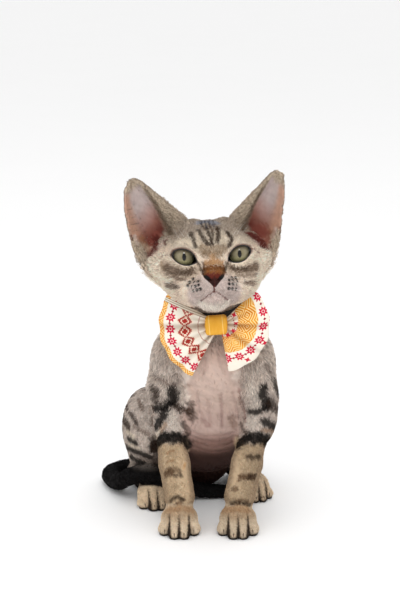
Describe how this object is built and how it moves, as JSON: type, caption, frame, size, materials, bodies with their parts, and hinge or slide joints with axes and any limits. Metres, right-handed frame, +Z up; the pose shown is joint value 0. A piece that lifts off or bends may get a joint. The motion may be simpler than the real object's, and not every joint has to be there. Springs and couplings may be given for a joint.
{
  "type": "devon rex cat",
  "caption": "Life-size still model of a sitting devon rex kitten with huge ears, large eyes and a bow tie on a collar.",
  "frame": {"origin": "on the floor, at the middle of the bounding box seen from above", "axes": "+Z up, the kitten looks along -Y and its own left side is at +X"},
  "size_m": [0.13, 0.1594, 0.2484],
  "materials": {
    "coat": "short wavy coat, silver and tan with brown marks",
    "dark_coat": "short black coat of the tail",
    "bare_skin": "thinly haired pink-grey skin of the chest and belly",
    "nose_leather": "moist brick-red nose leather",
    "eyeball": "wet, grey-green iris with a dark upright pupil",
    "bow_cloth": "printed cotton, cream with pink, red and orange motifs",
    "knot_cloth": "mustard cotton band",
    "strap": "narrow black strap"
  },
  "bodies": {
    "root": {"eye_right": "eyeball", "eye_left": "eyeball", "nose": "nose_leather", "head": "coat", "ear_right": "coat", "ear_left": "coat", "foreleg_right_upper": "coat", "foreleg_right_lower": "coat", "forepaw_right": "coat", "foreleg_left_upper": "coat", "foreleg_left_lower": "coat", "forepaw_left": "coat", "hindleg_right_thigh": "coat", "hindleg_right_foot": "coat", "hindleg_left_thigh": "coat", "hindleg_left_foot": "coat", "neck": "coat", "torso": "bare_skin", "tail_base": "dark_coat", "tail_middle": "dark_coat", "tail_bend": "dark_coat", "tail_tip": "dark_coat", "collar": "strap", "bow_knot": "knot_cloth", "bow_wing_right": "bow_cloth", "bow_wing_left": "bow_cloth"}
  },
  "joints": []
}
